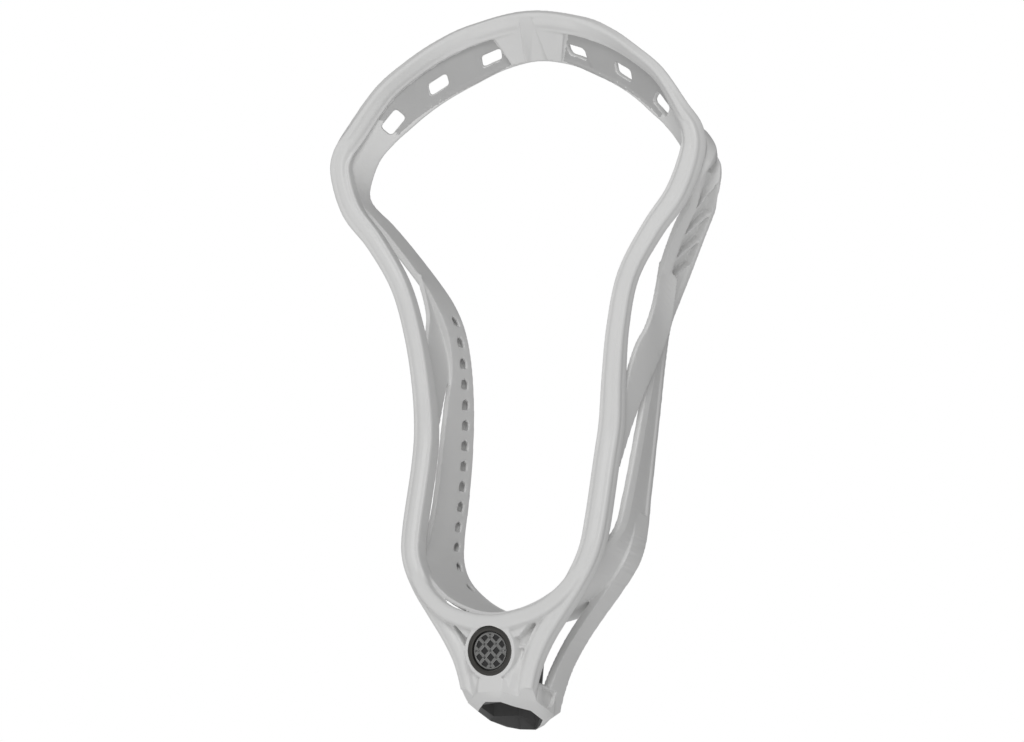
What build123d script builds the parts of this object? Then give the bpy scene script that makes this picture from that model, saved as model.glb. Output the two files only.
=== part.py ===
from build123d import *
import math
import os

# Lacrosse head, unstrung: one satin nylon moulding and the round badge in its throat.
# Frame: origin at the middle of the socket's mouth, +Z along the shaft to the scoop,
# -Y the front (ball) face, X across. Millimetres.

# overall sizes
corner_height = 66.0        # mouth to the corner where the throat meets the sidewalls
sidewall_length = 240.0     # that corner to the middle of the scoop's front rim
channel_half_width = 46.0   # middle of the front rail to the centre plane, at the narrow channel
scoop_half_width = 87.0     # the same at the widest place

# front rail
rail_width = 8.8
rail_depth = 8.6
rim_width = 6.0             # the rail grows thinner over the scoop
rim_depth = 7.0

# thin walls
ribbon_wall = 3.0
shelf_wall = 2.6
cut_scoop = 232.0           # heights where the moulding is parted into nodes
cut_throat = 85.0

# socket for the shaft
shaft_across = 25.4
shaft_deep = 32.4
shaft_clearance = 0.2       # all round
shaft_front_flat = 8.0
shaft_side_flat = 12.8
socket_wall = 2.6
socket_length = 38.5
mouth_slope = 9.0           # degrees: the front of the mouth is higher than the back
collar_height = 8.0
collar_spread = 4.8
collar_lip = 0.5
collar_band = 4.0
window_base = 14.0          # the socket's flanks and slanted back faces are open above this
window_front = 9.9          # how far the openings reach in front of the shaft's axis
back_strip_half = 4.7       # half the width of the strip left at the back, with the screw's bore

# throat
bridge_height = 37.5        # middle of the front rim below the ball opening
bridge_width = 7.0
bridge_depth = 6.5
near_strut_width = 8.0
near_strut_depth = 8.0
far_strut_width = 3.6
far_strut_depth = 12.0

panel_cover = 1.4           # the panel stands this much in front of the socket's tube
panel_depth = 6.0

# boss and badge
boss_height = 25.3
boss_reach = 23.4           # the badge's face in front of the shaft's axis
boss_tilt = 11.3            # degrees: the face looks a little to the handle
boss_radius = 12.5
badge_radius = 10.8
badge_clearance = 0.05
badge_depth = 3.0
bezel_width = 2.2
bezel_floor = 1.0
plate_thickness = 1.0
plate_recess = 0.9
emblem_height = 0.7
emblem_bar = 1.5
emblem_size = 10.6
screw_bore = 4.6
screw_height = 30.0

# stringing holes
hole_pitch = 9.35
hole_run = 2.4              # from the wall's inner face into the slot behind it
hole_width = 4.6
hole_height = 5.2
hole_count = 14
hole_first = 61.6
hole_edge = 5.0             # from the wall's back edge to the holes' middle
string_slot_width = 1.4     # the slot in the wall's back edge that the strings leave by
string_slot_skin = 1.4      # between the slot and the wall's inner face
string_slot_depth = 8.0
scoop_hole_width = 9.6
scoop_hole_height = 5.4
# middle of each: across, drop below the rim's middle, reach, lean in the front view
scoop_hole_places = [(22.8, 14.2, 26.8, 22), (46.8, 25.6, 29.0, 38), (66.5, 41.5, 31.8, 50)]
reach_limit = 130.0         # larger than the head on every side of its axis


def rail_z(share):
    """Height at a share of the sidewall's length above the throat's corner."""
    return corner_height + share * sidewall_length


def rail_x(share):
    """Distance from the centre plane, 0 at the channel and 1 at the widest place."""
    return channel_half_width + share * (scoop_half_width - channel_half_width)


# middle of the front rail: across and height (both as shares) and reach to the front
front_rail = [
    (-0.04, 0.00, 20.0), (-0.01, 0.06, 18.5), (0.00, 0.18, 14.2), (0.02, 0.25, 13.2),
    (0.05, 0.33, 17.0), (0.11, 0.42, 22.0), (0.25, 0.51, 28.0), (0.56, 0.59, 33.0),
    (0.85, 0.65, 35.5), (1.00, 0.72, 37.0), (0.97, 0.77, 37.5), (0.82, 0.823, 37.5),
    (0.60, 0.872, 37.0),
]
# over the scoop: across and reach in mm, height as a share
front_rim = [(55.5, 0.918, 37.0), (40.0, 0.96, 36.4), (22.0, 0.988, 36.1), (0.0, 1.0, 36.0)]

# back wall, down from the scoop: inner face's back edge and front edge, then its thickness
back_wall = [
    ((0.52, 0.79, 27.0), (0.82, 0.80, 35.5), 3.2), ((0.70, 0.753, 27.2), (0.95, 0.76, 36.0), 5.5),
    ((0.86, 0.708, 23.0), (0.98, 0.722, 36.0), 7.5), ((0.92, 0.69, 15.5), (0.94, 0.70, 35.0), 6.0),
    ((0.89, 0.677, 10.0), (0.89, 0.68, 31.0), 5.2), ((0.81, 0.66, 4.0), (0.80, 0.655, 22.5), 4.6),
    ((0.63, 0.62, -3.5), (0.60, 0.612, 17.5), 4.2), ((0.37, 0.558, -13.0), (0.37, 0.555, 9.0), 4.0),
    ((0.215, 0.515, -17.4), (0.23, 0.508, 1.0), 3.8), ((0.09, 0.466, -19.4), (0.13, 0.458, -4.0), 3.8),
    ((0.02, 0.40, -22.2), (0.08, 0.392, -8.5), 3.8), ((-0.025, 0.317, -24.3), (0.04, 0.308, -7.5), 3.8),
    ((-0.05, 0.225, -24.8), (0.02, 0.217, -5.0), 3.8), ((-0.055, 0.142, -24.2), (0.00, 0.133, -2.0), 3.8),
    ((-0.055, 0.075, -23.2), (-0.01, 0.067, 2.5), 3.8),
]
# the scoop's plate in mm below the rim
scoop_plate = [
    ((0.0, 16.0, 23.0), (0.0, 3.5, 33.5), 3.0), ((16.0, 18.5, 22.6), (15.0, 4.5, 33.5), 3.0),
    ((29.0, 24.0, 23.2), (27.5, 8.0, 34.0), 3.0), ((42.0, 30.5, 24.4), (43.5, 14.0, 34.8), 3.0),
    ((52.0, 37.0, 25.5), (57.0, 22.0, 35.5), 3.0), ((60.5, 44.0, 26.5), (69.0, 32.5, 35.5), 3.0),
]
# the shelf behind the front bridge, from the wall's foot to the centre plane, in mm
shelf = [
    ((42.0, 72.5, -22.4), (42.3, 71.5, 12.0)), ((36.5, 63.0, -22.5), (36.5, 61.0, 17.0)),
    ((25.0, 55.0, -23.5), (25.0, 50.5, 19.0)), ((12.0, 51.0, -24.0), (12.0, 44.0, 21.0)),
    ((0.0, 50.0, -24.0), (0.0, 42.0, 22.0)),
]
bridge = [
    (44.0, 69.5, 20.0), (39.5, 58.0, 21.3), (32.5, 49.0, 22.2), (23.0, 42.0, 23.0),
    (11.0, 38.0, 23.5), (0.0, 36.5, 23.5),
]
near_strut = [
    (44.2, 67.0, 20.0), (38.5, 55.0, 20.0), (31.0, 44.0, 18.6), (23.6, 33.5, 17.3),
    (18.2, 23.5, 15.4), (15.0, 13.5, 13.0), (14.0, 6.0, 11.0),
]
far_strut = [
    (46.6, 92.0, -17.0), (46.4, 82.0, -16.6), (43.5, 71.0, -16.2), (36.5, 59.0, -15.4),
    (29.5, 48.0, -14.4), (23.5, 37.0, -13.2), (18.8, 25.0, -10.6), (15.8, 13.5, -9.0),
    (14.2, 6.0, -8.0),
]
# the ribbon that leaves the back wall and joins the front rail: front edge, back edge
ribbon = [
    ((0.34, 0.56, 8.0), (0.38, 0.54, -4.0)), ((0.24, 0.49, 4.0), (0.20, 0.465, -13.0)),
    ((0.20, 0.44, 6.0), (0.11, 0.41, -12.5)), ((0.13, 0.395, 10.0), (0.05, 0.33, -4.5)),
    ((0.06, 0.32, 12.0), (0.00, 0.26, 2.5)), ((0.02, 0.22, 12.0), (-0.04, 0.19, 9.0)),
]


def point(x, z, reach):
    """A point from its distance across, height and reach to the front."""
    return Vector(x, -reach, z)


def tangent_at(points, index):
    before = points[max(index - 1, 0)]
    after = points[min(index + 1, len(points) - 1)]
    return (after - before).normalized()


def bar_section(centre, along, width, depth):
    """A rounded rectangle square to the path, its width across and its depth front to back."""
    across = Vector(0, 1, 0).cross(along).normalized()
    plane = Plane(origin=centre, x_dir=across, z_dir=along)
    edge = 0.26 * min(width, depth)
    x, y = width / 2, depth / 2
    return plane * Polygon(
        (x, y - edge), (x - edge, y), (edge - x, y), (-x, y - edge),
        (-x, edge - y), (edge - x, -y), (x - edge, -y), (x, edge - y), align=None,
    )


def smooth(entries, steps):
    """Entries of plain numbers with steps - 1 more on the curve between each two."""
    last = len(entries) - 1
    result = []
    for index in range(last):
        four = [entries[min(max(index + offset, 0), last)] for offset in (-1, 0, 1, 2)]
        for step in range(steps):
            result.append(catmull_rom(four, step / steps))
    result.append(entries[last])
    return result


def catmull_rom(four, share):
    """The curve's value between the middle two of four entries."""
    if isinstance(four[0], tuple):
        return tuple(catmull_rom([entry[k] for entry in four], share) for k in range(len(four[0])))
    a, b, c, d = four
    slope_b, slope_c = (c - a) / 2, (d - b) / 2
    square, cube = share ** 2, share ** 3
    return (
        b * (2 * cube - 3 * square + 1) + slope_b * (cube - 2 * square + share)
        + c * (3 * square - 2 * cube) + slope_c * (cube - square)
    )


def bar(points, widths, depths, flat_end=None):
    """A solid bar through the points; flat_end is the last section's own direction."""
    sections = []
    for index, centre in enumerate(points):
        along = tangent_at(points, index)
        if flat_end is not None and index == len(points) - 1:
            along = flat_end
        sections.append(bar_section(centre, along, widths[index], depths[index]))
    return loft(sections, ruled=True)


def strip(edges, flat_start=None, flat_end=None):
    """A wall between its back and front edge, each entry with its thickness to the outside."""
    middles = [(back + front) * 0.5 for back, front, _ in edges]
    sections = []
    for index, (back, front, thickness) in enumerate(edges):
        along = tangent_at(middles, index)
        if flat_start is not None and index == 0:
            along = flat_start
        if flat_end is not None and index == len(edges) - 1:
            along = flat_end
        outward = along.cross((front - back).normalized()).normalized()
        if outward.dot(outer_side(middles[index])) < 0:
            outward = outward * -1
        corners = [back, front, front + outward * thickness, back + outward * thickness]
        sections.append(Face(Wire.make_polygon(corners, close=True)))
    return loft(sections, ruled=True)


def outer_side(place):
    """Direction away from the middle of the ball opening."""
    middle = Vector(0, place.Y, corner_height + 0.45 * sidewall_length)
    return (place - middle).normalized()


def both_sides(half):
    return half.fuse(mirror(half, Plane.YZ))


def front_rail_half():
    sides = [(rail_x(x), rail_z(z), reach) for x, z, reach in front_rail]
    rim = [(x, rail_z(z), reach) for x, z, reach in front_rim]
    route = smooth(sides + rim, 2)
    points = [point(*entry) for entry in route]
    slim = [min(1.0, max(0.0, (index - 18) / 10)) for index in range(len(points))]
    widths = [rail_width + (rim_width - rail_width) * value for value in slim]
    depths = [rail_depth + (rim_depth - rail_depth) * value for value in slim]
    return bar(points, widths, depths, flat_end=Vector(-1, 0, 0))


def wall_route():
    """The back wall's edges in mm, from the scoop's middle down and round to the shelf's middle."""
    tip = rail_z(1.0)
    plate_part = [
        ((b[0], tip - b[1], b[2]), (f[0], tip - f[1], f[2]), thickness)
        for b, f, thickness in scoop_plate
    ]
    sides = [(share_entry(back), share_entry(front), thickness) for back, front, thickness in back_wall]
    foot = [(back, front, shelf_wall) for back, front in shelf]
    return smooth(plate_part + sides + foot, 2)


def back_wall_half():
    edges = [(point(*back), point(*front), thickness) for back, front, thickness in wall_route()]
    return strip(edges, Vector(-1, 0, 0), Vector(-1, 0, 0))


def ribbon_half():
    route = [(share_entry(back), share_entry(front), ribbon_wall) for front, back in ribbon]
    edges = [(point(*back), point(*front), thickness) for back, front, thickness in smooth(route, 2)]
    return strip(edges)


def share_entry(entry):
    return rail_x(entry[0]), rail_z(entry[1]), entry[2]


def bridge_half():
    points = [point(*entry) for entry in smooth(bridge, 2)]
    count = len(points)
    return bar(points, [bridge_width] * count, [bridge_depth] * count, flat_end=Vector(-1, 0, 0))


def strut(entries, width, depth):
    points = [point(*entry) for entry in smooth(entries, 2)]
    return bar(points, [width] * len(points), [depth] * len(points))


def octagon(across, deep, front_flat, side_flat):
    x0, x1 = front_flat / 2, across / 2
    y0, y1 = side_flat / 2, deep / 2
    return Polygon(
        (x1, -y0), (x1, y0), (x0, y1), (-x0, y1), (-x1, y0), (-x1, -y0), (-x0, -y1), (x0, -y1),
        align=None,
    )


def socket_outline(grow):
    """The shaft's octagon, larger by grow on every side."""
    slant = 0.83 * grow
    return octagon(
        shaft_across + 2 * grow, shaft_deep + 2 * grow,
        shaft_front_flat + slant, shaft_side_flat + slant,
    )


def mouth_cutter():
    """Everything below the sloping mouth."""
    block = Box(reach_limit, reach_limit, reach_limit, align=(Align.CENTER, Align.CENTER, Align.MAX))
    return Rot(X=-mouth_slope) * block


def socket_space():
    """The room that the socket takes in the throat, with all below its collar."""
    tube = extrude(socket_outline(shaft_clearance + socket_wall), socket_length)
    below = Box(reach_limit, reach_limit, reach_limit, align=(Align.CENTER, Align.CENTER, Align.MAX))
    return tube + collar_top() + Pos(0, 0, collar_height) * below


def collar_top():
    """The straight band above the collar's chamfer."""
    outline = socket_outline(shaft_clearance + collar_spread)
    return Pos(0, 0, collar_height) * extrude(outline, collar_band)


def socket_room():
    """The space that the shaft fills."""
    outline = socket_outline(shaft_clearance)
    return Pos(0, 0, -20) * extrude(outline, socket_length + 20)


def shaft_socket():
    outer = shaft_clearance + socket_wall
    tube = Pos(0, 0, -6) * extrude(socket_outline(outer), socket_length + 6)
    low = Pos(0, 0, -3.0) * socket_outline(shaft_clearance + collar_lip)
    high = Pos(0, 0, collar_height) * socket_outline(shaft_clearance + collar_spread)
    collar = loft([low, high], ruled=True)
    collar += collar_top()
    window = Box(reach_limit, reach_limit, reach_limit, align=(Align.MIN, Align.MIN, Align.MIN))
    right = Pos(back_strip_half, -window_front, window_base) * window
    body = tube - right - mirror(right, Plane.YZ) + collar
    screw = Pos(0, shaft_deep / 2, screw_height) * Rot(X=90) * Cylinder(screw_bore / 2, 20)
    return body - socket_room() - mouth_cutter() - screw


def boss_plane():
    return Plane(
        origin=(0, -boss_reach, boss_height), x_dir=(1, 0, 0),
        z_dir=(0, -math.cos(math.radians(boss_tilt)), -math.sin(math.radians(boss_tilt))),
    )


def boss():
    """The round boss on the throat's front, with a seat for the badge."""
    length = boss_reach - shaft_deep / 2 - shaft_clearance + 3
    disc = Pos(0, 0, -length / 2 + 0.4) * Cylinder(boss_radius, length)
    seat = Pos(0, 0, -badge_depth / 2) * Cylinder(badge_radius + badge_clearance, badge_depth)
    seat += Pos(0, 0, 1) * Cylinder(badge_radius + badge_clearance, 2)
    return boss_plane() * (disc - seat), boss_plane() * seat


def front_panel():
    """The web that fills the front of the throat between the struts."""
    outline = Polygon((-15, 6), (15, 6), (24, 35), (0, 38), (-24, 35), align=None)
    back = shaft_deep / 2 + shaft_clearance + socket_wall + panel_cover - panel_depth
    return extrude(Plane.XZ.offset(back) * outline, panel_depth)


def stringing_holes():
    """Square holes through the back wall, near its back edge."""
    cutters = []
    for index in range(hole_count):
        height = hole_first + index * hole_pitch
        across, reach, lean = wall_back_edge(height)
        hole = Box(2 * hole_run, hole_width, hole_height)
        cutters.append(Pos(across, -reach - hole_edge, height) * Rot(Y=lean) * hole)
    return cutters


def string_slot():
    """The slot in the wall's back edge, behind all the stringing holes."""
    low = hole_first - hole_pitch / 2
    high = hole_first + (hole_count - 0.5) * hole_pitch
    edges = []
    for back, front, _ in wall_route():
        if low < back[1] < high:
            edges.append((point(*back), point(*front)))
    middles = [(back + front) * 0.5 for back, front in edges]
    sections = []
    for index, (back, front) in enumerate(edges):
        forward = (front - back).normalized()
        outward = tangent_at(middles, index).cross(forward).normalized()
        if outward.dot(outer_side(back)) < 0:
            outward = outward * -1
        corners = []
        for depth, skin in ((-3, 0), (string_slot_depth, 0), (string_slot_depth, 1), (-3, 1)):
            through = string_slot_skin + skin * string_slot_width
            corners.append(back + forward * depth + outward * through)
        sections.append(Face(Wire.make_polygon(corners, close=True)))
    return loft(sections, ruled=True)


def wall_back_edge(height):
    """Distance across, reach and lean of the wall's back edge at a height."""
    edges = [back for back, _, _ in reversed(wall_route())]
    for lower, upper in zip(edges, edges[1:]):
        if upper[1] >= height:
            break
    blend = (height - lower[1]) / (upper[1] - lower[1])
    across = lower[0] + blend * (upper[0] - lower[0])
    reach = lower[2] + blend * (upper[2] - lower[2])
    return across, reach, math.degrees(math.atan2(upper[0] - lower[0], upper[1] - lower[1]))


def scoop_holes():
    """Three oblong holes each side through the scoop's plate."""
    tip = rail_z(1.0)
    cutters = []
    for x, drop, reach, lean in scoop_hole_places:
        hole = Box(scoop_hole_width, 24, scoop_hole_height)
        cutters.append(Pos(x, -reach, tip - drop) * Rot(Y=lean) * Rot(X=40) * hole)
    return cutters


def bezel():
    ring = Cylinder(badge_radius, badge_depth) - Cylinder(badge_radius - bezel_width, badge_depth)
    floor = Pos(0, 0, (bezel_floor - badge_depth) / 2) * Cylinder(badge_radius, bezel_floor)
    return boss_plane() * Pos(0, 0, -badge_depth / 2) * (ring + floor)


def plate():
    disc = Cylinder(badge_radius - bezel_width, plate_thickness)
    top = -plate_recess
    return boss_plane() * Pos(0, 0, top - plate_thickness / 2) * disc


def emblem():
    """A plain net of crossed bars inside the bezel."""
    reach = badge_radius - bezel_width - 0.6
    net = None
    for turn in (45, -45):
        for step in (-1, 0, 1):
            strip_bar = Rot(Z=turn) * Pos(0, step * emblem_size / 2.6, 0) * Box(40, emblem_bar, emblem_height)
            net = strip_bar if net is None else net + strip_bar
    net = net & Cylinder(reach, emblem_height)
    return boss_plane() * Pos(0, 0, -plate_recess + emblem_height / 2) * net


def half_moulding():
    """The right half of the frame without its socket."""
    members = [
        back_wall_half(), ribbon_half(), bridge_half(),
        strut(near_strut, near_strut_width, near_strut_depth),
        strut(far_strut, far_strut_width, far_strut_depth),
        front_panel() & half_space(),
    ]
    frame = front_rail_half().fuse(*members)
    return frame.cut(*stringing_holes(), string_slot(), *scoop_holes())


def half_space():
    return Pos(reach_limit, 0, 0) * Box(2 * reach_limit, 2 * reach_limit, 4 * reach_limit)


def between(solid, low, high):
    """The part of a solid between two heights."""
    slab = Pos(0, 0, (low + high) / 2) * Box(2 * reach_limit, 2 * reach_limit, high - low)
    return solid & slab


def save(name, shape):
    shape.label = name
    export_step(shape, "parts/" + name + ".step")


def main():
    os.makedirs("parts", exist_ok=True)
    half = half_moulding()
    socket = shaft_socket()
    boss_body, boss_seat = boss()
    right = between(half, cut_throat, cut_scoop)
    throat = both_sides(between(half, -reach_limit, cut_throat))
    throat = throat.fuse(boss_body).cut(boss_seat).cut(socket_space())
    socket = socket.cut(boss_seat)
    save("scoop", both_sides(between(half, cut_scoop, 3 * reach_limit)))
    save("right_sidewall", right)
    save("left_sidewall", mirror(right, Plane.YZ))
    save("throat", throat)
    save("shaft_socket", socket)
    save("badge_bezel", bezel())
    save("badge_plate", plate())
    save("badge_emblem", emblem())


main()
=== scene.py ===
import math
import bmesh
import bpy
from mathutils import Matrix, Vector, kdtree


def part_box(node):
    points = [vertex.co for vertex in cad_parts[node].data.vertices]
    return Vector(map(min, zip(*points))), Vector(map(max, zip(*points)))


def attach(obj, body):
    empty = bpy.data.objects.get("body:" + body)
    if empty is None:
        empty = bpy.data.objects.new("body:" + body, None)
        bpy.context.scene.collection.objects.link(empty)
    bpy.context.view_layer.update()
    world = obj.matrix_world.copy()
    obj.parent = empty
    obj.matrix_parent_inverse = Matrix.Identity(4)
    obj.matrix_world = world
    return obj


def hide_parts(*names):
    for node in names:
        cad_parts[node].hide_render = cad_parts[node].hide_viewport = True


# Unstrung lacrosse head: one satin nylon moulding round a ball opening, and a round badge in its throat.
# +Z runs up to the scoop, -Y is the front, X goes across.

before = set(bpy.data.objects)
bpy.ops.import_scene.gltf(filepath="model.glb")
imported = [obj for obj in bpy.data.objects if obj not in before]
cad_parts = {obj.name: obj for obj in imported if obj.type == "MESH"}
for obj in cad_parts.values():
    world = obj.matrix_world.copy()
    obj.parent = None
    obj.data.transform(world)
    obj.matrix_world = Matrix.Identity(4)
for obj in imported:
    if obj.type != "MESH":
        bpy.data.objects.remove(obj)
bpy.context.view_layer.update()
print("frame loaded:", sorted(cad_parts))

# The head's own measures come from the frame; the rows below are written for these nominal sizes in mm.
nominal = {"halfWidth": 92.26, "topHeight": 309.0, "backReach": 25.36}
_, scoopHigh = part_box("scoop")
_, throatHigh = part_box("throat")
acrossUnit = scoopHigh.x / nominal["halfWidth"]
heightUnit = scoopHigh.z / nominal["topHeight"]
reachUnit = throatHigh.y / nominal["backReach"]
mm = heightUnit


def place(across, height, reach):
    return Vector((across * acrossUnit, -reach * reachUnit, height * heightUnit))


def curveValue(four, share):
    a, b, c, d = four
    startSlope, endSlope = (c - a) / 2, (d - b) / 2
    square, cube = share ** 2, share ** 3
    return (b * (2 * cube - 3 * square + 1) + startSlope * (cube - 2 * square + share)
            + c * (3 * square - 2 * cube) + endSlope * (cube - square))


def curveRow(rows, where, mirrorAt=()):
    # the row of numbers at a fractional place along rows; past an end it goes on as its mirror image
    last = len(rows) - 1
    index = min(int(where), last - 1)
    four = []
    for k in (index - 1, index, index + 1, index + 2):
        inside = 0 <= k <= last
        near = k if inside else min(max(k, 0), last)
        if mirrorAt and not inside:
            near = 2 * near - k
        turned = () if inside else mirrorAt
        four.append([-value if n in turned else value for n, value in enumerate(rows[near])])
    return [curveValue([row[k] for row in four], where - index) for k in range(len(rows[0]))]


def denser(rows, steps):
    return [curveRow(rows, k / steps) for k in range((len(rows) - 1) * steps + 1)]


def mirrored(rows, acrossAt=(0,)):
    return [[-value if k in acrossAt else value for k, value in enumerate(row)] for row in rows]


def loopRows(rows, acrossAt=(0,)):
    # right half to the middle, then the left half back again
    return rows + mirrored(rows[-2::-1], acrossAt)


def newObject(name, mesh):
    piece = bpy.data.objects.new(name, mesh)
    bpy.context.scene.collection.objects.link(piece)
    return piece


def loftMesh(name, rings, closedPath=False):
    shape = bmesh.new()
    rows = [[shape.verts.new(point) for point in ring] for ring in rings]
    pairs = list(zip(rows, rows[1:]))
    if closedPath:
        pairs.append((rows[-1], rows[0]))
    count = len(rows[0])
    for one, two in pairs:
        for k in range(count):
            shape.faces.new((one[k], one[(k + 1) % count], two[(k + 1) % count], two[k]))
    if not closedPath:
        shape.faces.new(rows[0])
        shape.faces.new(rows[-1])
    bmesh.ops.recalc_face_normals(shape, faces=shape.faces)
    mesh = bpy.data.meshes.new(name)
    shape.to_mesh(mesh)
    shape.free()
    return newObject(name, mesh)


def joined(name, pieces):
    shape = bmesh.new()
    for piece in pieces:
        shape.from_mesh(piece.data)
        bpy.data.objects.remove(piece)
    mesh = bpy.data.meshes.new(name)
    shape.to_mesh(mesh)
    shape.free()
    return newObject(name, mesh)


def applied(piece):
    # modifiers made real
    graph = bpy.context.evaluated_depsgraph_get()
    mesh = bpy.data.meshes.new_from_object(piece.evaluated_get(graph))
    piece.modifiers.clear()
    piece.data = mesh
    return piece


def carve(piece, cutters):
    for tool in cutters:
        cut = piece.modifiers.new("carve", "BOOLEAN")
        cut.operation = "DIFFERENCE"
        cut.solver = "MANIFOLD"
        cut.object = tool
        applied(piece)
        bpy.data.objects.remove(tool)
    return piece


def tangents(points, closedPath=False):
    result = []
    last = len(points) - 1
    for k in range(len(points)):
        before = points[k - 1] if k or closedPath else points[0]
        after = points[(k + 1) % len(points)] if k < last or closedPath else points[last]
        result.append((after - before).normalized())
    return result


def barRings(points, profiles, leans=None):
    # each profile is a list of (outward, forward) in mm round its point; lean turns outward to the front
    rings = []
    for k, (point, along) in enumerate(zip(points, tangents(points))):
        outward = Vector((0, 1, 0)).cross(along).normalized()
        forward = outward.cross(along).normalized()
        if forward.y > 0:
            forward = -forward
        if leans:
            turn = Matrix.Rotation(-math.radians(leans[k]), 3, along)
            outward, forward = turn @ outward, turn @ forward
        rings.append([point + outward * (u * mm) + forward * (v * mm) for u, v in profiles[k]])
    return rings


def scaledProfile(profile, width, depth):
    return [(u * width / 2, v * depth / 2) for u, v in profile]


# front rail and scoop rim
rail = {
    # across, height, reach of the middle, then width, depth and lean to the front in degrees;
    # it starts at the foot of the throat's near strut
    "rows": [
        (12.6, -4.0, 10.0, 7.4, 6.8, 0), (13.6, 6.0, 12.4, 7.4, 6.8, 0), (14.8, 14.0, 13.8, 7.8, 7.8, 0),
        (17.8, 23.5, 15.4, 8.2, 8.6, 0), (23.3, 33.5, 17.3, 8.4, 9.0, 0), (30.7, 44.0, 18.8, 8.6, 9.0, 0),
        (38.3, 55.0, 20.0, 8.8, 9.0, 0), (43.9, 67.0, 20.4, 9.2, 9.0, 0), (45.6, 80.4, 19.1, 9.8, 8.8, 0),
        (45.8, 109.2, 15.5, 9.8, 8.8, 0), (46.5, 126.0, 14.6, 9.8, 8.8, 0), (47.8, 145.2, 18.4, 9.0, 8.4, 0),
        (50.9, 166.8, 24.2, 8.5, 7.4, 0), (57.1, 188.4, 29.8, 8.3, 7.2, 0), (69.3, 207.6, 33.3, 8.5, 7.8, 2),
        (81.3, 222.0, 36.0, 9.2, 8.4, 6), (87.9, 238.8, 37.7, 9.3, 8.6, 14),
    ],
    # over the scoop it thins out into the lip: distance past the plate's edge, through, width, depth, lean
    "inLip": [(7, 3.2, 0.6, 9.2, 7.4, 28), (6, 3.3, 0.5, 9.0, 5.8, 50), (5, 3.3, 0.4, 8.8, 4.7, 62),
              (4, 3.2, 0.3, 8.8, 4.3, 61), (3, 3.2, 0.3, 8.8, 4.2, 50), (2, 3.3, 0.3, 8.8, 4.2, 38),
              (0, 3.3, 0.3, 8.8, 4.2, 38)],
    # shares of half the width (outward) and half the depth (forward)
    "profile": [
        (-0.84, -1.0), (-1.0, -0.84), (-1.0, 0.52), (-0.96, 0.74), (-0.85, 0.84), (-0.76, 0.82), (-0.68, 0.71),
        (-0.58, 0.79), (-0.32, 0.97), (-0.10, 1.0), (0.06, 0.96), (0.36, 0.84), (0.48, 0.69), (0.60, 0.76),
        (0.86, 0.66), (0.98, 0.48), (1.0, 0.24), (0.96, 0.14), (0.96, -0.10), (1.0, -0.22), (1.0, -0.84),
        (0.84, -1.0),
    ],
    "steps": 6,
}


# thin wall behind the rail: scoop plate, side wall and the shelf under the ball opening
wall = {
    # back edge's across, height, reach; front edge's across, height, reach; thickness, outer lip, inner lip
    "scoop": [
        (0.0, 290.8, 23.5, 0.0, 302.3, 33.5, 2.6, 0, .5), (16.3, 288.2, 23.1, 15.0, 301.3, 33.5, 2.6, 0, .5),
        (29.4, 282.7, 23.7, 27.4, 297.7, 34.0, 2.5, 0, .5), (42.5, 276.1, 24.9, 43.0, 291.5, 34.8, 2.4, 0, .5),
        (52.6, 269.5, 26.0, 56.4, 283.4, 35.5, 2.4, 0, .5), (61.2, 262.4, 27.0, 68.7, 273.2, 35.5, 2.6, 0, .4),
    ],
    "side": [
        (68.3, 256.1, 27.3, 79.6, 258.0, 35.5, 4.4, .2, .2), (75.9, 247.2, 27.4, 85.0, 248.4, 36.0, 10.4, .3, 0),
        (81.6, 236.0, 23.0, 86.2, 239.3, 36.0, 11.6, .4, 0), (83.7, 231.6, 15.5, 84.5, 234.0, 35.0, 7.2, .5, 0),
        (82.5, 228.5, 10.0, 82.5, 229.2, 31.0, 5.4, .6, 0), (79.2, 224.4, 4.0, 78.8, 223.2, 22.5, 4.8, .7, 0),
        (71.8, 214.8, -3.5, 70.3, 212.9, 16.5, 4.3, .7, 0), (61.2, 199.9, -13.0, 60.8, 199.2, 7.8, 4.0, .7, 0),
        (54.8, 189.6, -17.4, 55.2, 187.9, 0.4, 3.8, .7, 0), (49.7, 177.8, -19.4, 51.0, 175.9, -5.2, 3.8, .7, 0),
        (46.8, 162.0, -22.2, 49.0, 160.1, -8.9, 3.8, .7, 0), (45.0, 142.1, -24.3, 48.3, 139.9, -6.4, 3.8, .7, 0),
        (44.0, 120.0, -24.8, 47.4, 118.1, -3.7, 3.8, .7, 0), (43.7, 100.1, -24.2, 46.4, 97.9, -0.8, 3.8, .7, 0),
        (43.7, 84.0, -23.2, 45.6, 82.1, 3.5, 3.8, .7, 0),
    ],
    "shelf": [
        (42.0, 72.5, -22.4, 42.3, 71.5, 12.0, 2.8, .4, 0), (36.5, 63.0, -22.5, 36.5, 60.6, 18.6, 2.6, .2, 0),
        (25.0, 53.7, -23.5, 25.0, 50.0, 20.6, 2.6, 0, .3), (12.0, 49.0, -24.0, 12.0, 44.0, 21.0, 2.6, 0, .3),
        (0.0, 47.8, -24.0, 0.0, 42.0, 22.0, 2.6, 0, .3),
    ],
    "steps": 5, "frontShare": 0.68,     # of the thickness, at the front edge
}
wallRows = wall["scoop"] + wall["side"] + wall["shelf"]
openingMiddle = place(0, 174, 0)


def wallRow(where):
    return curveRow(wallRows, where, mirrorAt=(0, 3))


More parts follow.
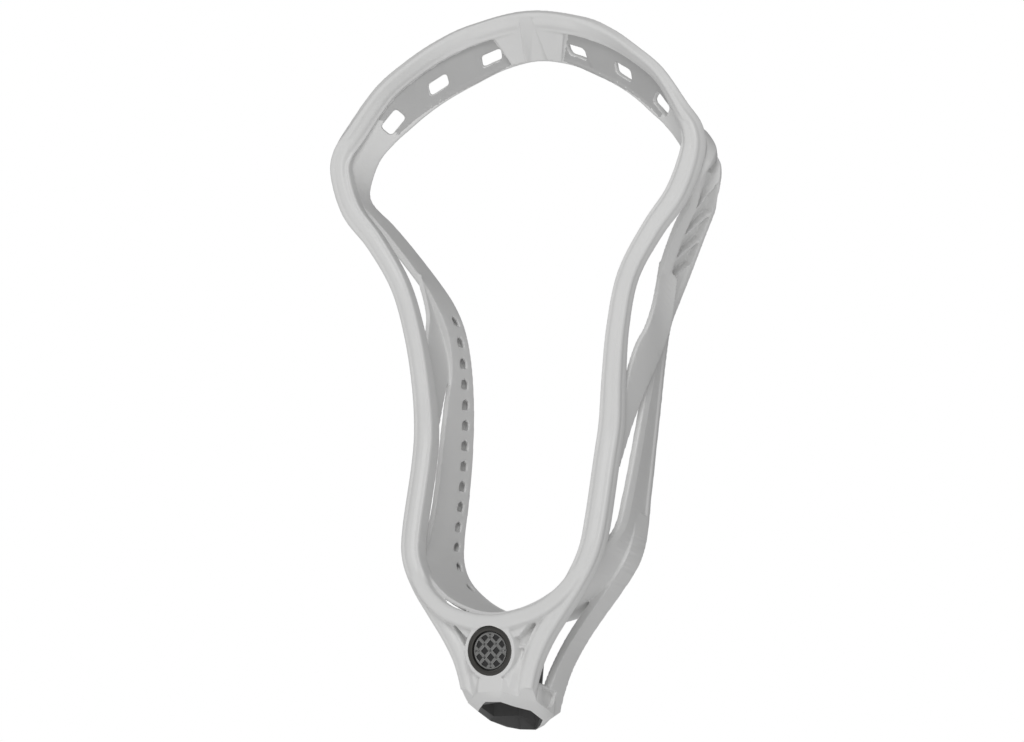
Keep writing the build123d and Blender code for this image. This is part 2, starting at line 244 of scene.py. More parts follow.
def wallFrame(where):
    # back edge, direction to the front edge, depth, outward direction and thickness at a place on the wall
    row = wallRow(where)
    back, front = place(*row[:3]), place(*row[3:6])
    ahead, behind = wallRow(min(where + 0.1, len(wallRows) - 1)), wallRow(max(where - 0.1, 0))
    along = (place(*ahead[:3]) + place(*ahead[3:6]) - place(*behind[:3]) - place(*behind[3:6])).normalized()
    if where < 0.01 or where > len(wallRows) - 1.01:
        along = Vector((-1, 0, 0))
    forward = front - back
    outward = along.cross(forward).normalized()
    away = back - openingMiddle
    away.y = 0
    if outward.dot(away) < 0:
        outward = -outward
    return back, forward.normalized(), forward.length, outward, row[6:], along


def wallPoint(where, depth, through):
    # depth in mm from the back edge, through in mm from the inner face outwards
    back, forward, _, outward, _, _ = wallFrame(where)
    return back + forward * (depth * mm) + outward * (through * mm)


scoopBand = {
    "raised": 1.7,          # the band and the middle stand this much over the recessed plate
    "over": 1.2,            # of the plate's depth that the band covers, next to the rim
    "reach": 7.4,           # past the plate's edge
    "fold": [0, 0, 4, 17, 29, 33, 28, 12, 2, 0],    # of the lip to the front at the wall's places, in degrees
    "fullTo": 6.2, "end": 8.4,      # places on the wall where the step starts to fade and the band ends
    "endBack": 12.6, "endFront": 20.3,
    "grooveBack": 5.3, "grooveFront": 3.0, "groove": 0.8, "grooveSlant": 1.4,
}


def lipFold(where):
    # how far the scoop's lip is folded to the front from the plate, in degrees
    low = min(int(where), len(scoopBand["fold"]) - 2)
    return curveRow([[value] for value in scoopBand["fold"]], min(where, low + 1))[0]


def lipPoint(where, past, through):
    # past is the distance in mm beyond the plate's front edge, along the folded lip
    back, forward, depth, outward, _, _ = wallFrame(where)
    fold = math.radians(lipFold(where))
    out = forward * math.cos(fold) - outward * math.sin(fold)
    over = outward * math.cos(fold) + forward * math.sin(fold)
    return back + forward * depth + out * (past * mm) + over * (through * mm)


def wallAt(height):
    # the place on the side wall or shelf whose back edge is at this height
    low, high = float(len(wall["scoop"])), len(wallRows) - 1.0
    for _ in range(40):
        middle = (low + high) / 2
        if wallRow(middle)[1] > height:
            low = middle
        else:
            high = middle
    return low


def scoopAt(across):
    low, high = 0.0, float(len(wall["scoop"]) + 2)
    for _ in range(40):
        middle = (low + high) / 2
        if wallRow(middle)[0] < across:
            low = middle
        else:
            high = middle
    return low


def wallRing(where):
    back, forward, depth, outward, (thickness, outerLip, innerLip), _ = wallFrame(where)
    depth = depth / mm
    frontShare = wall["frontShare"]
    outline = [
        (-0.8, -innerLip), (0.7, -innerLip), (1.4, 0), (depth * 0.5, 0), (depth, 0), (depth, thickness * frontShare),
        (depth - 4, thickness), (3.2, thickness), (2.4, thickness + outerLip), (-0.8, thickness + outerLip),
        (-1.1, thickness * 0.6), (-1.1, 0.2),
    ]
    return [back + forward * (d * mm) + outward * (t * mm) for d, t in outline]


def buildRail():
    entries = [tuple(place(*row[:3]) / mm) + row[3:] for row in rail["rows"]]
    for where, past, through, width, depth, lean in rail["inLip"]:
        entries.append(tuple(lipPoint(where, past, through) / mm) + (width, depth, lean))
    rows = denser(loopRows(entries), rail["steps"])
    points = [Vector(row[:3]) * mm for row in rows]
    profiles = [scaledProfile(rail["profile"], row[3], row[4]) for row in rows]
    return loftMesh("rail", barRings(points, profiles, [row[5] for row in rows]))


def flipped(piece):
    # its mirror image on the other side of the head
    shape = bmesh.new()
    shape.from_mesh(piece.data)
    bmesh.ops.scale(shape, vec=(-1, 1, 1), verts=shape.verts)
    bmesh.ops.reverse_faces(shape, faces=shape.faces)
    mesh = bpy.data.meshes.new(piece.name)
    shape.to_mesh(mesh)
    shape.free()
    return newObject(piece.name, mesh)


def bothSides(pieces):
    return pieces + [flipped(piece) for piece in pieces]


stringing = {
    "first": 61.6, "pitch": 9.35, "count": 14,
    "fromBackEdge": 4.9, "width": 4.4, "height": 4.9, "roof": 1.5,
    "run": 2.2, "slotSkin": 1.3, "slotWidth": 1.5, "slotDepth": 8.0,
}


def stringingHole(height):
    # a little house: square with a peaked roof
    where = wallAt(height)
    back, forward, _, outward, _, along = wallFrame(where)
    up = -along if along.z < 0 else along
    centre = back + forward * (stringing["fromBackEdge"] * mm)
    half, tall, roof = stringing["width"] / 2, stringing["height"] / 2, stringing["roof"]
    outline = [(-half, -tall), (half, -tall), (half, tall - roof), (0, tall), (-half, tall - roof)]
    rings = []
    for through in (-2, stringing["run"]):
        rings.append([centre + forward * (a * mm) + up * (b * mm) + outward * (through * mm) for a, b in outline])
    return loftMesh("hole", rings)


def stringSlot():
    # the strings leave by a slot in the wall's back edge, behind the holes
    low = stringing["first"] - stringing["pitch"] / 2
    high = stringing["first"] + (stringing["count"] - 0.5) * stringing["pitch"]
    first, last = wallAt(high), wallAt(low)
    steps = 60
    near, far = stringing["slotSkin"], stringing["slotSkin"] + stringing["slotWidth"]
    rings = []
    for k in range(steps + 1):
        where = first + (last - first) * k / steps
        rings.append([wallPoint(where, d, t) for d, t in
                      ((-3, near), (stringing["slotDepth"], near), (stringing["slotDepth"], far), (-3, far))])
    return loftMesh("slot", rings)


scoopHoles = {
    # across, share of the plate's depth, width, height
    "rows": [(22.3, 0.40, 10.2, 5.4), (46.0, 0.42, 10.2, 5.4), (63.6, 0.44, 10.8, 6.2)],
    "corner": 1.5,
}


def roundedOutline(width, height, corner, perCorner=4):
    points = []
    for cx, cy, start in ((1, 1, 0), (-1, 1, 90), (-1, -1, 180), (1, -1, 270)):
        for k in range(perCorner + 1):
            angle = math.radians(start + 90 * k / perCorner)
            points.append((cx * (width / 2 - corner) + corner * math.cos(angle),
                           cy * (height / 2 - corner) + corner * math.sin(angle)))
    return points


def scoopHole(across, share, width, height):
    where = scoopAt(across)
    back, forward, depth, outward, _, along = wallFrame(where)
    centre = back + forward * (depth * share)
    rings = []
    for through in (-6, 12):
        rings.append([centre + along * (a * mm) + forward * (b * mm) + outward * (through * mm)
                      for a, b in roundedOutline(width, height, scoopHoles["corner"])])
    return loftMesh("hole", rings)


ribPockets = {
    # height and distance from the back edge of the slanted ribs' upper and lower ends
    "ribs": [(242, 1.8, 233, 12.5), (232.5, 1.8, 222.5, 13.5), (223.5, 1.8, 213, 14),
             (213.5, 1.8, 203.5, 14), (203.5, 1.8, 195, 13)],
    "rib": 1.3, "depth": 3.4,
}


def pocketBetween(upper, lower):
    gap = ribPockets["rib"] / 2
    corners = [
        (wallAt(upper[0] - gap), upper[1]), (wallAt(upper[2] - gap), upper[3]),
        (wallAt(lower[2] + gap), lower[3]), (wallAt(lower[0] + gap), lower[1]),
    ]
    rings = []
    for over in (-ribPockets["depth"], 4):
        rings.append([wallPoint(where, depth, wallRow(where)[6] + over) for where, depth in corners])
    return loftMesh("pocket", rings)


def buildWall():
    count = (len(wallRows) - 1) * wall["steps"]
    rings = [wallRing(k / wall["steps"]) for k in range(count + 1)]
    other = [[Vector((-p.x, p.y, p.z)) for p in ring] for ring in rings[-2:0:-1]]
    body = loftMesh("wall", rings + other, closedPath=True)
    cutters = [stringingHole(stringing["first"] + k * stringing["pitch"]) for k in range(stringing["count"])]
    cutters += [stringSlot()]
    cutters += [scoopHole(*row) for row in scoopHoles["rows"]]
    cutters += [pocketBetween(one, two) for one, two in zip(ribPockets["ribs"], ribPockets["ribs"][1:])]
    return carve(body, bothSides(cutters))


def bandRing(where, fade):
    depth = wallFrame(where)[2] / mm
    lift = -0.1 - (scoopBand["raised"] - 0.1) * fade
    start, reach = depth - scoopBand["over"], scoopBand["reach"] * (0.7 + 0.3 * fade)
    onPlate = [wallPoint(where, d, t) for d, t in ((start + 1, 2), (start, 1), (start, lift))]
    lip = [lipPoint(where, d, t) for d, t in (
        (0, lift), (reach * 0.5, lift), (reach * 0.9, lift * 0.8), (reach, lift * 0.4),
        (reach * 0.97, 0.4), (reach * 0.7, 1.8), (1.5, 2.0))]
    return onPlate + lip


def buildScoopBand():
    full, end = scoopBand["fullTo"], scoopBand["end"]
    steps = 90
    rings = []
    for k in range(-steps, steps + 1):
        where = abs(k) / steps * end
        fade = 1.0 if where < full else max(0.0, 1 - (where - full) / (end - full) * 1.3)
        ring = bandRing(where, fade)
        if k < 0:
            ring = [Vector((-p.x, p.y, p.z)) for p in ring]
        rings.append(ring)
    return [loftMesh("band", rings), buildScoopMiddle()]


def buildScoopMiddle():
    # raised middle between the two recesses, with slanted ends
    s = scoopBand
    rings = []
    for share in (-1, -0.6, -0.3, 0, 0.3, 0.6, 1):
        ring = []
        for across, atFront in ((s["endBack"], False), (s["endFront"], True)):
            where = scoopAt(abs(across * share))
            _, _, depth, _, _, _ = wallFrame(where)
            for through in ((1.5, -s["raised"]) if not atFront else (-s["raised"], 1.5)):
                point = wallPoint(where, depth / mm + 0.5 if atFront else 0.1, through)
                point.x = math.copysign(abs(point.x), share) if share else 0
                ring.append(point)
        rings.append(ring)
    return loftMesh("scoopMiddle", rings)


def grooveCutter():
    # shallow groove down the scoop's middle, wider at the plate's back edge and fading towards the rim
    s = scoopBand
    _, _, depth, _, _, _ = wallFrame(0)
    ends = ((-1, s["grooveBack"], s["groove"]), (depth / mm + 6.4, s["grooveFront"], 0.25))
    rings = []
    for spread, above in ((s["grooveSlant"], True), (0, False)):
        ring = []
        for side, (along, half, deep) in ((-1, ends[0]), (1, ends[0]), (1, ends[1]), (-1, ends[1])):
            point = wallPoint(0, along, -s["raised"] - 1.5 if above else deep - s["raised"])
            point.x = side * (half + spread) * mm
            ring.append(point)
        rings.append(ring)
    return loftMesh("groove", rings)


# ribbon that leaves the wall and joins the rail
ribbon = {
    "rows": [
        (61.4, 195.6, -4.0, 59.3, 200.4, 7.0),
        (54.2, 177.6, -13.0, 55.3, 183.6, 3.6),
        (50.5, 164.4, -12.5, 53.5, 171.6, 5.8),
        (48.1, 145.2, -4.5, 50.7, 160.8, 9.4),
        (46.2, 128.4, 2.0, 48.3, 142.8, 12.0),
        (44.6, 108.0, 9.0, 46.8, 117.0, 12.0),
    ],
    "offset": 0.9, "thickness": 3.4, "frontShare": 0.7, "steps": 8,
}


def buildRibbon():
    rows = denser(ribbon["rows"], ribbon["steps"])
    middles = [(place(*row[:3]) + place(*row[3:])) / 2 for row in rows]
    rings = []
    for row, along in zip(rows, tangents(middles)):
        back, front = place(*row[:3]), place(*row[3:])
        outward = along.cross((front - back).normalized()).normalized()
        if outward.x < 0:
            outward = -outward
        near, far = outward * (ribbon["offset"] * mm), outward * ((ribbon["offset"] + ribbon["thickness"]) * mm)
        rings.append([back + near, front + near, front + far * ribbon["frontShare"], back + far])
    return loftMesh("ribbon", rings)


# throat: bridge, struts, web, boss and collar
def superProfile(power, width, depth, count=24):
    points = []
    for k in range(count):
        angle = 2 * math.pi * k / count
        c, s = math.cos(angle), math.sin(angle)
        points.append((math.copysign(abs(c) ** (2 / power), c) * width / 2,
                       math.copysign(abs(s) ** (2 / power), s) * depth / 2))
    return points


bridge = {
    # across, height, reach, width, depth
    "rows": [(44.0, 69.5, 20.0, 7, 6.5), (39.5, 58.0, 21.3, 7, 6.5), (32.5, 49.0, 22.2, 7, 6.5),
             (23.0, 42.0, 23.0, 7, 6.5),
             (11.0, 38.0, 23.5, 7.4, 6.6), (0.0, 36.5, 23.5, 7.6, 6.6)],
}
farStrut = {
    "rows": [(47.0, 92.0, -17.0, 3.4, 12), (47.1, 82.0, -16.6, 3.4, 12.5), (44.2, 71.0, -16.2, 3.6, 13),
             (37.1, 59.0, -15.6, 3.8, 12.6), (29.8, 48.0, -14.8, 3.8, 12.2), (23.4, 37.0, -13.4, 3.8, 12.2),
             (18.6, 25.0, -11.2, 3.8, 12.2), (15.9, 13.5, -9.2, 4.0, 13), (14.6, 4.0, -8.4, 4.0, 13),
             (13.2, -8.0, -8.2, 4.0, 13)],
}


def barFrom(name, rows, power, steps=6, whole=False):
    rows = denser(loopRows(rows) if whole else rows, steps)
    points = [place(*row[:3]) for row in rows]
    profiles = [superProfile(power, row[3], row[4]) for row in rows]
    return loftMesh(name, barRings(points, profiles))


def farStrutProfile(width, depth):
    # a hollow outer face between two lips
    w, d = width / 2, depth / 2
    return [(-w, -d), (-w, d), (w, d), (w, d - 1.2), (0.1, d - 2.2), (-0.3, 0), (0.1, 2.2 - d),
            (w, 1.2 - d), (w, -d)]


def buildFarStrut():
    rows = denser(farStrut["rows"], 6)
    points = [place(*row[:3]) for row in rows]
    return loftMesh("farStrut", barRings(points, [farStrutProfile(row[3], row[4]) for row in rows]))


socket = {
    "across": 25.4, "deep": 32.4, "frontFlat": 8.0, "sideFlat": 12.8,
    "clearance": 0.2, "wall": 2.6, "length": 38.5, "slope": 10.5,
    "lip": 0.9, "flare": 1.12,      # the collar's chamfer: growth at the mouth, and per mm above it
    "collarGrow": 4.6, "collarTop": 13.0, "backStrip": 4.7, "windowBase": 14.0, "frontSpan": 9.9,
    "pocketAt": 1.4, "pocketRadius": 6.4, "pocketMiddle": 10.2, "pocketTop": 12.2, "pocketFloor": 15.0,
}


def octagonRing(grow, height):
    x0, y0 = socket["frontFlat"] / 2 + 0.41 * grow, socket["sideFlat"] / 2 + 0.41 * grow
    x1, y1 = socket["across"] / 2 + grow, socket["deep"] / 2 + grow
    outline = [(x1, -y0), (x1, y0), (x0, y1), (-x0, y1), (-x1, y0), (-x1, -y0), (-x0, -y1), (x0, -y1)]
    return [place(x, height, -y) for x, y in outline]


def tiltedRing(grow, above):
    # an octagon parallel to the sloping mouth
    slope = math.tan(math.radians(socket["slope"]))
    return [point + Vector((0, 0, -slope * point.y)) for point in octagonRing(grow, above)]


def buildSocket():
    tube = loftMesh("tube", [octagonRing(socket["wall"], -8), octagonRing(socket["wall"], socket["length"])])
    # the tube is open at its flanks and slanted back faces
    low, front, strip = socket["windowBase"], -socket["frontSpan"], socket["backStrip"]
    outline = [(front, low), (30, low), (30, 45), (front, 45)]
    windows = [loftMesh("window", [[place(side * x, z, -y) for y, z in outline] for x in (strip, 40)])
               for side in (1, -1)]
    tube = carve(tube, windows)
    grow = socket["collarGrow"]
    collar = loftMesh("collar", [octagonRing(grow, -8), octagonRing(grow, socket["collarTop"])])
    return [tube, collar]


def sidePocket(side):
    # the round-ended pocket between the near and far struts
    middle, radius, at = socket["pocketMiddle"], socket["pocketRadius"], socket["pocketAt"]
    outline = [(at + radius, socket["pocketTop"]), (at - radius, socket["pocketTop"])]
    outline += [(at + radius * math.cos(math.radians(a)), middle + radius * math.sin(math.radians(a)))
                for a in range(180, 361, 12)]
    return loftMesh("pocket", [[place(side * x, z, -y) for y, z in outline] for x in (socket["pocketFloor"], 40)])


def mouthCutters():
    # the shaft's room, then all below the sloping mouth, then all outside the collar's chamfer
    gap = socket["clearance"]
    room = loftMesh("room", [octagonRing(gap, -25), octagonRing(gap, socket["length"] + 1)])
    slope = math.tan(math.radians(socket["slope"]))
    square = ((-60, -60), (60, -60), (60, 60), (-60, 60))
    below = loftMesh("below", [[place(x, drop - slope * y, -y) for x, y in square] for drop in (-0.3, -30)])
    outside = loftMesh("outside", [[place(x, z, -y) for x, y in square] for z in (-40, 9.5)])
    lip, flare = socket["lip"], socket["flare"]
    cone = loftMesh("cone", [tiltedRing(lip - 4 * flare, -4), tiltedRing(lip + 16 * flare, 16)])
    stem = loftMesh("stem", [octagonRing(-6, -50), octagonRing(-6, 14)])
    return [room, below, carve(outside, [cone, stem]), sidePocket(1), sidePocket(-1)]


badge = {"height": 24.7, "reach": 23.4, "tilt": 11.3, "radius": 10.8, "bossRadius": 12.5}


def badgeMatrix():
    tilt = math.radians(badge["tilt"])
    normal = Vector((0, -math.cos(tilt), -math.sin(tilt)))
    across = Vector((1, 0, 0))
    up = normal.cross(across)
    turn = Matrix((across, up, normal)).transposed().to_4x4()
    return Matrix.Translation(place(0, badge["height"], badge["reach"])) @ turn


def lathe(name, outline, count=96):
    # outline of (radius, rise) in mm round the badge's own axis, closed
    matrix = badgeMatrix()
    rings = []
    for k in range(count):
        angle = 2 * math.pi * k / count
        rings.append([matrix @ Vector((r * mm * math.cos(angle), r * mm * math.sin(angle), z * mm))
                      for r, z in outline])
    return loftMesh(name, rings, closedPath=True)


def disc(name, radius, low, high, count=64):
    matrix = badgeMatrix()
    rings = []
    for z in (low, high):
        rings.append([matrix @ Vector((radius * mm * math.cos(2 * math.pi * k / count),
                                       radius * mm * math.sin(2 * math.pi * k / count), z * mm)) for k in range(count)])
    return loftMesh(name, rings)


throatPanel = {
    # height, then half width and reach of the front face, then of the valley beside the strut
    "rows": [(-6, 5.4, 15.4, 12.5, 9.5), (4, 6.6, 17.4, 13.5, 13.0), (15, 10.0, 19.8, 15.5, 14.0),
             (28, 11.0, 18.4, 20, 13.4),
             (38, 12.0, 20.0, 26, 15.0)],
    "backReach": 9.0,
}


def buildPanel():
    rings = []
    for height, faceHalf, faceReach, valleyHalf, valleyReach in throatPanel["rows"]:
        back = min(throatPanel["backReach"], valleyReach - 2)
        outline = [(-valleyHalf, back), (-valleyHalf, valleyReach), (-faceHalf, faceReach), (faceHalf, faceReach),
                   (valleyHalf, valleyReach), (valleyHalf, back)]
        rings.append([place(x, height, reach) for x, reach in outline])
    return loftMesh("panel", rings)


def block(name, bottom, top):
    # between two heights; each is (height, low across, high across, back reach, front reach)
    rings = []
    for height, x0, x1, back, front in (bottom, top):
        rings.append([place(x0, height, back), place(x1, height, back), place(x1, height, front),
                      place(x0, height, front)])
    return loftMesh(name, rings)


def buildThroat():
    pieces = [barFrom("bridge", bridge["rows"], 3.4, whole=True), buildPanel()]
    sides = [
        buildFarStrut(), buildRibbon(),
        # thin ribs from the boss to the strut, and the slanted gusset above
        block("rib", (26.6, 10, 20.5, 11, 19.4), (27.8, 10, 21, 11, 19.0)),
        block("gusset", (31, 9, 13, 15, 22.6), (38, 8, 20, 15, 24.4)),
    ]
    pieces += bothSides(sides)
    # centre rib under the boss, and the flat brow between the boss and the bridge
    pieces.append(block("keel", (-5, -0.7, 0.7, 14, 16.2), (18, -0.7, 0.7, 16, 21.0)))
    pieces.append(block("brow", (29, -9, 9, 16, 24.2), (40, -10.5, 10.5, 16, 26.4)))
    pieces.append(disc("boss", badge["bossRadius"], -8, 0.3))
    pieces += buildSocket()
    return pieces


moulding = {
    "voxel": 0.45,          # mm
    "smoothing": 2,
    "faceBudget": 190000,
}


def buildMoulding():
    pieces = [buildRail(), buildWall()] + buildScoopBand() + buildThroat()
    body = joined("headMoulding", pieces)
    remesh = body.modifiers.new("fuse", "REMESH")
    remesh.mode = "VOXEL"
    remesh.voxel_size = moulding["voxel"] * mm
    applied(body)
    print("moulding fused:", len(body.data.polygons), "faces")
    seat = disc("seat", badge["radius"] + 0.05, -3.0, 6)
    carve(body, mouthCutters() + [seat, grooveCutter()])
    soften = body.modifiers.new("soften", "SMOOTH")
    soften.factor, soften.iterations = 0.5, moulding["smoothing"]
    applied(body)
    triangles = sum(len(face.vertices) - 2 for face in body.data.polygons)
    if triangles > moulding["faceBudget"]:
        thin = body.modifiers.new("thin", "DECIMATE")
        thin.ratio = moulding["faceBudget"] / triangles
        applied(body)
    print("moulding ready:", len(body.data.polygons), "faces")
    return body


def shaded(piece, angle=40):
    for face in piece.data.polygons:
        face.use_smooth = True
    piece.data.set_sharp_from_angle(angle=math.radians(angle))
    return piece


# finishes
def nodeMaterial(name):
    material = bpy.data.materials.new(name)
    material.use_nodes = True
    nodes = material.node_tree.nodes
    shader = nodes["Principled BSDF"]
    return material, nodes, material.node_tree.links, shader


def addNode(nodes, kind, **values):
    node = nodes.new(kind)
    for key, value in values.items():
        node.inputs[key].default_value = value
    return node


nylon = {
    "light": (0.80, 0.80, 0.795, 1), "shade": (0.75, 0.75, 0.745, 1),
    # painted shade: darker nylon for the scoop's recessed floor, standing in for the shade in the recess
    "recessPaintedShadeLighter": (0.54, 0.54, 0.538, 1), "recessPaintedShadeDarker": (0.45, 0.45, 0.448, 1),
    # painted shade: near-black nylon for the socket's inner walls, standing in for the shade inside the socket
    "insidePaintedShadeLighter": (0.11, 0.11, 0.11, 1), "insidePaintedShadeDarker": (0.10, 0.10, 0.10, 1),
    "roughLow": 0.36, "roughHigh": 0.46, "grainScale": 1400, "grainDepth": 0.05,
}


def nylonMaterial(name, light, shade):
    material, nodes, links, shader = nodeMaterial(name)
    place3d = addNode(nodes, "ShaderNodeTexCoord")
    cloud = addNode(nodes, "ShaderNodeTexNoise", Scale=38, Detail=3, Roughness=0.5)
    grain = addNode(nodes, "ShaderNodeTexNoise", Scale=nylon["grainScale"], Detail=2, Roughness=0.6)
    for texture in (cloud, grain):
        links.new(place3d.outputs["Object"], texture.inputs["Vector"])
    tone = addNode(nodes, "ShaderNodeMix")
    tone.data_type = "RGBA"
    tone.inputs["A"].default_value = shade
    tone.inputs["B"].default_value = light
    links.new(cloud.outputs["Fac"], tone.inputs["Factor"])
    links.new(tone.outputs["Result"], shader.inputs["Base Color"])
    rough = addNode(nodes, "ShaderNodeMapRange")
    rough.inputs["To Min"].default_value = nylon["roughLow"]
    rough.inputs["To Max"].default_value = nylon["roughHigh"]
    links.new(grain.outputs["Fac"], rough.inputs["Value"])
    links.new(rough.outputs["Result"], shader.inputs["Roughness"])
    bump = addNode(nodes, "ShaderNodeBump", Strength=nylon["grainDepth"], Distance=0.0002)
    links.new(grain.outputs["Fac"], bump.inputs["Height"])
    links.new(bump.outputs["Normal"], shader.inputs["Normal"])
    shader.inputs["Specular IOR Level"].default_value = 0.45
    return material


def metalMaterial(name, colour, roughLow, roughHigh, metallic, coat=0.0, scale=900):
    material, nodes, links, shader = nodeMaterial(name)
    place3d = addNode(nodes, "ShaderNodeTexCoord")
    grain = addNode(nodes, "ShaderNodeTexNoise", Scale=scale, Detail=3, Roughness=0.6)
    links.new(place3d.outputs["Object"], grain.inputs["Vector"])
    rough = addNode(nodes, "ShaderNodeMapRange")
    rough.inputs["To Min"].default_value = roughLow
    rough.inputs["To Max"].default_value = roughHigh
    links.new(grain.outputs["Fac"], rough.inputs["Value"])
    links.new(rough.outputs["Result"], shader.inputs["Roughness"])
    bump = addNode(nodes, "ShaderNodeBump", Strength=0.06, Distance=0.0001)
    links.new(grain.outputs["Fac"], bump.inputs["Height"])
    links.new(bump.outputs["Normal"], shader.inputs["Normal"])
    shader.inputs["Base Color"].default_value = colour
    shader.inputs["Metallic"].default_value = metallic
    shader.inputs["Coat Weight"].default_value = coat
    return material


body = buildMoulding()
body.data.materials.clear()
for face in body.data.polygons:
    face.material_index = 0
body.data.materials.append(nylonMaterial("satinNylon", nylon["light"], nylon["shade"]))
# painted shade inside the socket
body.data.materials.append(nylonMaterial("socketInsidePaintedShade", nylon["insidePaintedShadeLighter"], nylon["insidePaintedShadeDarker"]))
# painted shade on the scoop's recessed floor
body.data.materials.append(nylonMaterial("recessPaintedShade", nylon["recessPaintedShadeLighter"], nylon["recessPaintedShadeDarker"]))


def shadeRecess():
    # painted shade: the recessed floor of the scoop's plate is painted a darker nylon colour that stands in for the
    # shade falling in the recess
    last = 5.6
    frames = [wallFrame(k / 20) for k in range(int(last * 20))]
    tree = kdtree.KDTree(len(frames))
    for k, (back, forward, depth, _, _, _) in enumerate(frames):
        tree.insert(back + forward * depth / 2, k)
    tree.balance()
    count = 0
    for face in body.data.polygons:
        centre, normal = face.center.copy(), face.normal.copy()
        centre.x, normal.x = abs(centre.x), normal.x * (1 if face.center.x >= 0 else -1)
        _, k, distance = tree.find(centre)
        if distance > 13 * mm or k > len(frames) - 2:
            continue
        back, forward, depth, outward, _, _ = frames[k]
        offset = centre - back
        along, through = offset.dot(forward), offset.dot(outward)
        inMiddle = scoopBand["endBack"] + (scoopBand["endFront"] - scoopBand["endBack"]) * along / depth
        if (abs(through) < 0.5 * mm and 0.8 * mm < along < depth - (scoopBand["over"] - 0.3) * mm
                and normal.dot(outward) < -0.85 and centre.x > inMiddle * mm):
            face.material_index = 2
            count += 1
    print("recess:", count, "faces")


def shadeSocketInside():
    # painted shade: faces on the walls of the shaft's room are painted near-black for the shade deep inside the socket
    margin = 0.35
    x1, y1 = socket["across"] / 2 + socket["clearance"] + margin, socket["deep"] / 2 + socket["clearance"] + margin
    diagonal = socket["frontFlat"] / 2 + socket["deep"] / 2 + 1.2 + margin
    count = 0
    for face in body.data.polygons:
        x, y = abs(face.center.x) / mm, abs(face.center.y) / mm
        if x < x1 and y < y1 and x + y < diagonal and face.center.z < (socket["length"] + 0.8) * mm:
            face.material_index = 1
            count += 1
    print("socket inside:", count, "faces")


shadeSocketInside()
shadeRecess()
shaded(body, 38)
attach(body, "root")
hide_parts("scoop", "right_sidewall", "left_sidewall", "throat", "shaft_socket")

# badge: satin ring, gloss field and a raised net of crossed bars
badgeParts = {
    "ringInner": 8.6, "ringBottom": -3.0, "ringFloor": -2.0, "plateTop": -0.9,
    "barWidth": 1.5, "barRise": 0.65, "barPitch": 4.08, "barBevel": 0.22, "netRadius": 7.9,
}


def buildBadge():
    b = badgeParts
    outer, inner = badge["radius"], b["ringInner"]
    ring = lathe("badgeRing", [
        (0.02, b["ringBottom"]), (outer - 0.2, b["ringBottom"]), (outer, b["ringBottom"] + 0.2), (outer, 0.1),
        (outer - 0.15, 0.35), (outer - 0.5, 0.5), (inner + 0.5, 0.5), (inner + 0.15, 0.35), (inner, 0.0),
        (inner, b["ringFloor"]), (0.02, b["ringFloor"]),
    ])
    field = disc("badgeField", inner - 0.02, b["ringFloor"] + 0.1, b["plateTop"])
    matrix = badgeMatrix()
    bars = []
    for turn in (45, -45):
        for step in (-1, 0, 1):
            offset = step * b["barPitch"]
            half = math.sqrt(b["netRadius"] ** 2 - offset ** 2) - 0.3
            side, top, edge = b["barWidth"] / 2, b["plateTop"] + b["barRise"], b["barBevel"]
            low = b["plateTop"] - 0.05
            section = [(-side, low), (-side, top - edge), (-side + edge, top), (side - edge, top),
                       (side, top - edge), (side, low)]
            spin = Matrix.Rotation(math.radians(turn), 4, "Z")
            rings = []
            for x, shrink in ((-half, 0.9), (-half + 0.25, 1.0), (half - 0.25, 1.0), (half, 0.9)):
                rings.append([matrix @ spin @ Vector((x * mm, (offset + y * shrink) * mm, z * mm)) for y, z in section])
            bars.append(loftMesh("bar", rings))
    rim = lathe("bar", [(7.35, b["plateTop"] - 0.05), (7.35, b["plateTop"] + 0.4), (7.55, b["plateTop"] + 0.6),
                        (7.95, b["plateTop"] + 0.6), (8.15, b["plateTop"] + 0.4), (8.15, b["plateTop"] - 0.05)])
    net = joined("badgeNet", bars + [rim])
    return ring, field, net


ring, field, net = buildBadge()
for piece, node, slotName, material in (
    (ring, "badge_bezel", "badge_metal",
     metalMaterial("badgeSatin", (0.085, 0.083, 0.078, 1), 0.34, 0.46, 0.8)),
    (field, "badge_plate", "badge_gloss",
     metalMaterial("badgeGloss", (0.006, 0.006, 0.006, 1), 0.08, 0.14, 0.0, coat=0.6)),
    (net, "badge_emblem", "emblem_metal",
     metalMaterial("emblemMetal", (0.34, 0.34, 0.335, 1), 0.22, 0.32, 0.9)),
):
    piece.data.materials.append(material)
    shaded(piece, 25)
    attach(piece, "root")
    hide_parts(node)
print("badge ready")

# studio
studio = {
    "floorHeight": -0.62, "floorSize": 9.0, "floorGlow": 0.3, "worldLight": 0.22,
    "lights": [
        # name, place, aim, size, watts
        ("key", (0.75, -1.75, 1.10), (0, 0, 0.17), 1.0, 15.5),
        ("fill", (-1.4, -1.2, 0.6), (0, 0, 0.17), 1.0, 3.2),
        ("low", (0.5, -1.7, -0.5), (0, 0, 0.12), 0.9, 2.5),
    ],
}


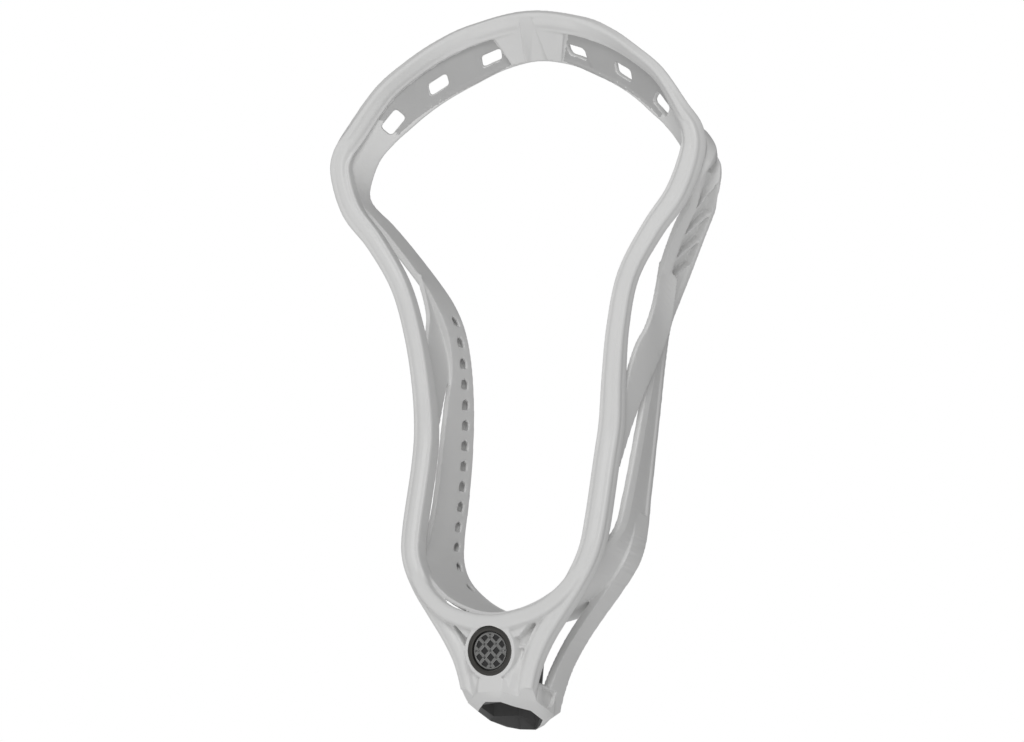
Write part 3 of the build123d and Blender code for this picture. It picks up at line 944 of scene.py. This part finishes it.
def buildStudio():
    size = studio["floorSize"] / 2
    mesh = bpy.data.meshes.new("floor")
    mesh.from_pydata([(-size, -size, 0), (size, -size, 0), (size, size, 0), (-size, size, 0)], [], [(0, 1, 2, 3)])
    floor = newObject("floor", mesh)
    floor.location.z = studio["floorHeight"]
    material, _, _, shader = nodeMaterial("paleFloor")
    shader.inputs["Base Color"].default_value = (0.86, 0.86, 0.86, 1)
    shader.inputs["Roughness"].default_value = 0.8
    shader.inputs["Emission Color"].default_value = (1, 1, 1, 1)
    shader.inputs["Emission Strength"].default_value = studio["floorGlow"]
    floor.data.materials.append(material)
    world = bpy.data.worlds.new("studioWhite")
    bpy.context.scene.world = world
    world.use_nodes = True
    nodes, links = world.node_tree.nodes, world.node_tree.links
    seen, lit = nodes["Background"], nodes.new("ShaderNodeBackground")
    seen.inputs["Color"].default_value = (1, 1, 1, 1)
    seen.inputs["Strength"].default_value = 1.0
    lit.inputs["Color"].default_value = (1, 1, 1, 1)
    lit.inputs["Strength"].default_value = studio["worldLight"]
    choose, ray = nodes.new("ShaderNodeMixShader"), nodes.new("ShaderNodeLightPath")
    links.new(ray.outputs["Is Camera Ray"], choose.inputs["Fac"])
    links.new(lit.outputs["Background"], choose.inputs[1])
    links.new(seen.outputs["Background"], choose.inputs[2])
    links.new(choose.outputs["Shader"], nodes["World Output"].inputs["Surface"])
    for name, spot, aim, wide, watts in studio["lights"]:
        light = bpy.data.lights.new(name, "AREA")
        light.shape = "DISK"
        light.size, light.energy = wide, watts
        lamp = bpy.data.objects.new(name, light)
        bpy.context.scene.collection.objects.link(lamp)
        lamp.location = spot
        lamp.rotation_euler = (Vector(aim) - Vector(spot)).to_track_quat("-Z", "Y").to_euler()


view = {
    "lens": 207.4, "sensor": 36.0,
    "right": (0.87292, 0.48136, 0.07942), "up": (0.0377, -0.22887, 0.97273),
    "back": (0.48641, -0.84612, -0.21793),
    "place": (1.2540, -2.2045, -0.4129),
}


def buildCamera():
    data = bpy.data.cameras.new("camera")
    data.lens, data.sensor_width = view["lens"], view["sensor"]
    data.clip_start, data.clip_end = 0.05, 50
    camera = bpy.data.objects.new("camera", data)
    bpy.context.scene.collection.objects.link(camera)
    turn = Matrix((view["right"], view["up"], view["back"])).transposed().to_4x4()
    camera.matrix_world = Matrix.Translation(view["place"]) @ turn
    bpy.context.scene.camera = camera


buildStudio()
buildCamera()
bpy.context.scene.view_settings.view_transform = "Standard"
print("studio ready")
